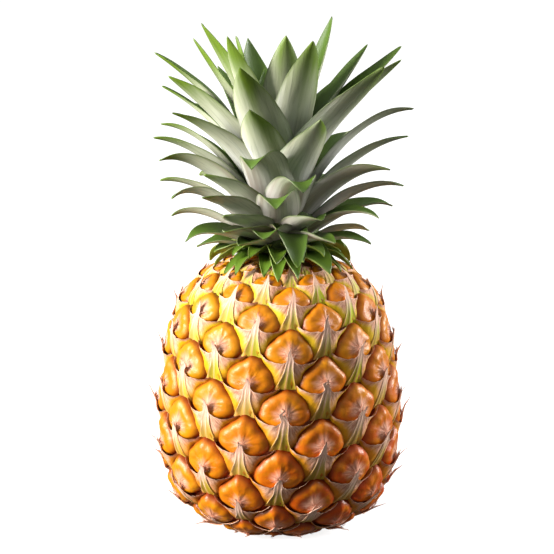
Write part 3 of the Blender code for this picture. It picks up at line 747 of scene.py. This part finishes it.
def mealy_leaf(name, lower, middle, green, margin, inner, blush_and_shade):
    """A stiff crown leaf: its outer face carries a grey-white meal over the green, thickest low down and
    blushed with brown on the lowest leaves, whose darker feet are partly that blush and partly painted shade.
    The meal thins sooner on one half of each leaf, which is painted shade. The tip, the margins and the inner
    face stay green, and fine veins run its whole length."""
    material, tree, shader = new_material(name, 0.5, 0.4)
    to_tip, across, outer, high = (add(tree, "Attribute", "Fac", {}, attribute_name=key)
                                   for key in ("to_tip", "across", "outer", "high"))
    fibre = add(tree, "Attribute", "Vector", {}, attribute_name="fibre")
    veins = add(tree, "TexNoise", "Fac",
                {"Vector": fibre, "Scale": 1 / VEIN, "Detail": 4.0, "Roughness": 0.7})
    broad = add(tree, "TexNoise", "Fac",
                {"Vector": fibre, "Scale": 1 / MEAL_BAND, "Detail": 2.0, "Roughness": 0.55})
    # The meal thins out raggedly towards the tip, sooner on the higher leaves and on the half of each leaf
    # where
    #     across is above nought (the right half on the front leaves), whose greener colour is painted shade.
    reach = to_tip
    for value, share in ((broad, 0.5), (high, 0.07), (across, 0.1)):
        reach = add(tree, "Math", "Value", {0: value, 1: share, 2: reach}, operation="MULTIPLY_ADD")
    ripened = add(tree, "Math", "Value", {0: high, 1: 0.18, 2: reach}, operation="MULTIPLY_ADD")
    rim = add(tree, "Math", "Value", {0: across, 1: 2.0}, operation="POWER")
    low = add(tree, "MapRange", "Result",
              {"Value": high, "From Min": 1.0, "From Max": 0.1, "To Max": blush_and_shade}, **EASED)
    # The lowest leaves are darker at the foot: partly their brown blush, partly painted shade.
    face = painted(tree, lower,
                   (high, 0.75, 0.05, blush_and_shade, "#A08C7C"),
                   (reach, 0.5, 1.0, 1.0, middle),
                   (broad, 0.46, 0.64, low, "#8C6A5C"),
                   (ripened, 1.01, 1.43, 1.0, green),
                   (rim, 0.76, 1.0, 0.55, margin))
    gutter = painted(tree, "#26381A", (to_tip, 0.1, 0.7, 1.0, inner))
    colour = add(tree, "Mix", BLENDED, {"Factor": outer, UNDER: gutter, OVER: face}, **COLOURS)
    colour = painted(tree, colour, (veins, 0.5, 0.64, 0.24, "#46542C"))
    relief = add(tree, "Bump", "Normal", {"Height": veins, "Strength": 0.3, "Distance": 0.6 * MM})
    tree.links.new(colour, shader.inputs["Base Color"])
    tree.links.new(relief, shader.inputs["Normal"])
    return material


def bare_fibres(name, light, dark, roughness, size):
    """Bare plant fibres, torn or cut and then dried: a pale ground with darker fibres of the given size in
    millimetres, rough to the light."""
    material, tree, shader = new_material(name, roughness, 0.3)
    place = add(tree, "TexCoord", "Object", {})
    grain = add(tree, "TexNoise", "Fac",
                {"Vector": place, "Scale": 1 / (size * MM), "Detail": 5.0, "Roughness": 0.7})
    colour = painted(tree, light, (grain, 0.35, 0.65, 1.0, dark))
    relief = add(tree, "Bump", "Normal", {"Height": grain, "Strength": 0.5, "Distance": 0.8 * MM})
    tree.links.new(colour, shader.inputs["Base Color"])
    tree.links.new(relief, shader.inputs["Normal"])
    return material


# Groove skin and eyes, wings and spines of the bracts.
ground(groove_skin_and_shade())
rind = waxy_rind()
eyes("eyes_upper", TOP_EYE, MIDDLE_EYE, rind)
eyes("eyes_lower", MIDDLE_EYE + 1, BOTTOM_EYE, rind)
bracts(dry_bract())
spines(dry_spine())
strands(bare_fibres("dry rosy strands", "#F2CCB8", "#C08468", 0.6, STRAND_GRAIN))

front, back, heart, collar = crown_rows()
mealy = mealy_leaf("mealy crown leaf", "#E4E3DE", "#C4C7AA", "#647E1C", "#587018", "#4C681C", 0.6)
fresh = mealy_leaf("fresh collar leaf", "#869C42", "#728A1E", "#86A028", "#C0CA7C", "#56741A", 0.15)
leaves("crown_leaves_front", front, mealy)
leaves("crown_leaves_back", back, mealy)
leaves("crown_leaves_heart", heart, mealy)
leaves("crown_leaves_collar", collar, fresh)
turned("crown_stem", STEM_OUTLINE, STEM_FOOT, STEM_TOP, 40,
       bare_fibres("crown stem fibres", "#5C6E34", "#2E3E1A", 0.7, STEM_FIBRE), "crown")
turned("cut_stalk", [(STALK_RADIUS - 0.4, 0.0), (STALK_RADIUS, 0.5), (STALK_RADIUS, STALK_HEIGHT)], 0.0,
       STALK_HEIGHT, 40, bare_fibres("cut stalk grain", "#D8C48C", "#8A6A3A", 0.85, STALK_GRAIN),
       "stalk")

# A plain pale floor that fills the view. It glows a little, so that it is as white as the photo's ground.
FLOOR_SIZE = 30.0
bpy.ops.mesh.primitive_plane_add(size=FLOOR_SIZE)
floor = bpy.context.object
floor.name = "floor"
floor_paint, _, floor_shader = new_material("matt white floor", 0.9, 0.1)
floor_shader.inputs["Base Color"].default_value = linear("#A8A8A6")
floor_shader.inputs["Emission Color"].default_value = linear("#FFFFFF")
floor_shader.inputs["Emission Strength"].default_value = 0.86
floor.data.materials.append(floor_paint)
floor.visible_diffuse = False
floor.visible_glossy = False

# Studio light: a key from the upper left with a low fill beside it, a rim light from behind on the right and
# a weak top light.
MIDDLE = Vector((0.0, 0.0, 0.125))


def soft_light(name, place, size, power, colour):
    """A round lamp of the given width in metres and power in watts, turned to the middle of the whole."""
    light = bpy.data.lights.new(name, "AREA")
    light.shape = "DISK"
    light.size = size
    light.energy = power
    light.color = linear(colour)[:3]
    obj = bpy.data.objects.new(name, light)
    bpy.context.scene.collection.objects.link(obj)
    obj.location = place
    obj.rotation_euler = (MIDDLE - Vector(place)).to_track_quat("-Z", "Y").to_euler()


soft_light("key", (-1.68, -0.66, 0.85), 0.6, 78.0, "#FFFCF8")
soft_light("low left", (-1.5, -0.45, 0.2), 0.6, 21.0, "#FFFFFF")
soft_light("rim", (1.6, 0.52, 0.6), 0.8, 44.0, "#FFFFFF")
soft_light("top", (-0.3, -0.3, 2.0), 1.4, 4.0, "#FFFFFF")
world = bpy.data.worlds.new("studio")
world.use_nodes = True
sky = world.node_tree.nodes["Background"]
sky.inputs["Color"].default_value = linear("#FFFFFF")
# The room is dimmer below than above.
way = add(world.node_tree, "TexCoord", "Generated", {})
up = add(world.node_tree, "SeparateXYZ", "Z", {0: way})
level = add(world.node_tree, "MapRange", "Result",
            {"Value": up, "From Min": -0.3, "From Max": 0.7, "To Min": 0.12, "To Max": 0.42})
world.node_tree.links.new(level, sky.inputs["Strength"])
bpy.context.scene.world = world
bpy.context.scene.view_settings.view_transform = "Standard"

# The camera that matches the photograph: 277 mm of the axis fill the square frame.
TARGET = Vector((-0.00125, 0.0, 0.126))
DISTANCE = 1.2
ELEVATION = math.radians(12)
FRAME_WIDTH = 0.277
SENSOR = 36.0
camera = bpy.data.cameras.new("camera")
camera.sensor_width = SENSOR
camera.lens = SENSOR * DISTANCE / FRAME_WIDTH
camera.clip_start = 0.05
viewer = bpy.data.objects.new("camera", camera)
bpy.context.scene.collection.objects.link(viewer)
viewer.location = TARGET + DISTANCE * Vector((0.0, -math.cos(ELEVATION), math.sin(ELEVATION)))
viewer.rotation_euler = (TARGET - viewer.location).to_track_quat("-Z", "Y").to_euler()
bpy.context.scene.camera = viewer
